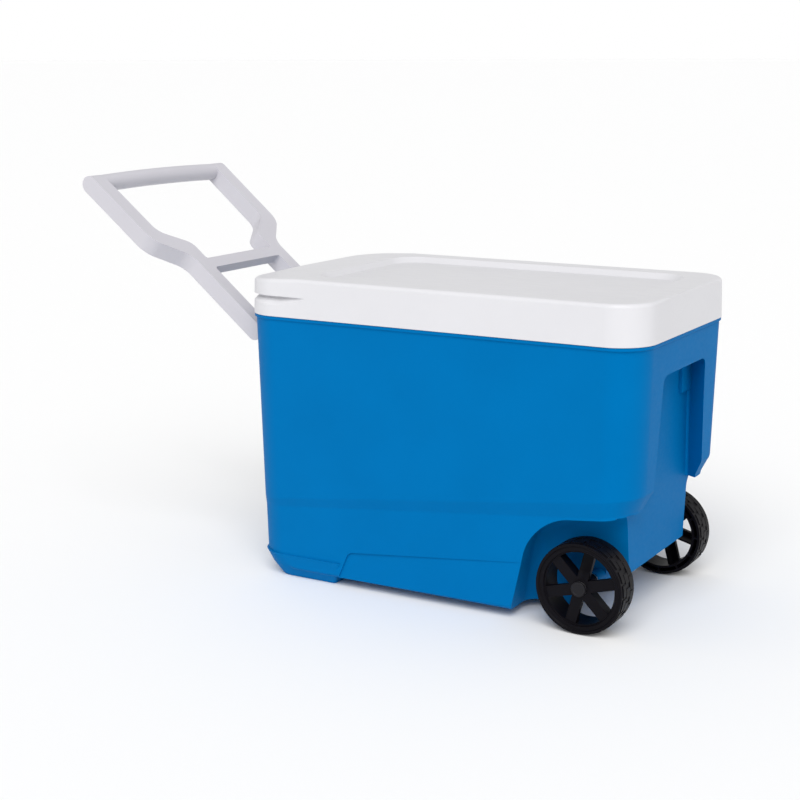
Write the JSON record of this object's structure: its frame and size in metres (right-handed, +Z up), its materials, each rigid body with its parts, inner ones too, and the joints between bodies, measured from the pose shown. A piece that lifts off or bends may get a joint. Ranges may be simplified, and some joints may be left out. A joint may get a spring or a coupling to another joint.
{
  "type": "wheeled cooler",
  "caption": "Insulated cooler on wheels: rounded blue tub, white lift-off lid with a tray top, fold-down loop tow handle, and spoked wheels on a steel axle.",
  "frame": {"origin": "centre of the bounding box, on the floor under the cooler with its tow handle raised", "axes": "+Z up, +X towards the wheel end, -X towards the tow handle, Y across the cooler"},
  "size_m": [0.8248, 0.3076, 0.5238],
  "materials": {
    "blue_shell": "satin blue moulded polypropylene",
    "white_liner": "smooth white moulded plastic",
    "foam": "rigid cream foam",
    "white_lid": "satin white moulded plastic",
    "handle_plastic": "fine-grained pale grey moulded plastic",
    "pin_steel": "turned steel",
    "axle_steel": "drawn steel rod",
    "wheel_plastic": "black moulded plastic",
    "zinc_steel": "zinc-plated pressed steel",
    "cap_plastic": "black moulded plastic"
  },
  "bodies": {
    "cooler": {"outer_shell": "blue_shell", "inner_liner": "white_liner", "body_foam": "foam", "handle_pin_near": "pin_steel", "handle_pin_far": "pin_steel", "axle": "axle_steel", "inner_washer_near": "zinc_steel", "inner_washer_far": "zinc_steel", "outer_washer_near": "zinc_steel", "outer_washer_far": "zinc_steel", "push_nut_near": "zinc_steel", "push_nut_far": "zinc_steel", "hub_cap_near": "cap_plastic", "hub_cap_far": "cap_plastic"},
    "lid": {"lid_shell": "white_lid", "lid_liner": "white_liner", "lid_foam": "foam"},
    "handle": {"tow_handle": "handle_plastic"},
    "left_wheel": {"wheel_near": "wheel_plastic"},
    "right_wheel": {"wheel_far": "wheel_plastic"}
  },
  "joints": [
    {"name": "lid_lift", "type": "slide", "parent": "cooler", "child": "lid", "axis": [0, 0, 1], "range_m": [0, 0.18]},
    {"name": "handle_swing", "type": "hinge", "parent": "cooler", "child": "handle", "pos_m": [-0.1648, 0, 0.3197], "axis": [0, 1, 0], "range_deg": [-128.5, 50.5]},
    {"name": "left_wheel_spin", "type": "hinge", "parent": "cooler", "child": "left_wheel", "pos_m": [0.33779, 0, 0.057], "axis": [0, 1, 0], "continuous": true},
    {"name": "right_wheel_spin", "type": "hinge", "parent": "cooler", "child": "right_wheel", "pos_m": [0.33779, 0, 0.057], "axis": [0, 1, 0], "continuous": true}
  ]
}
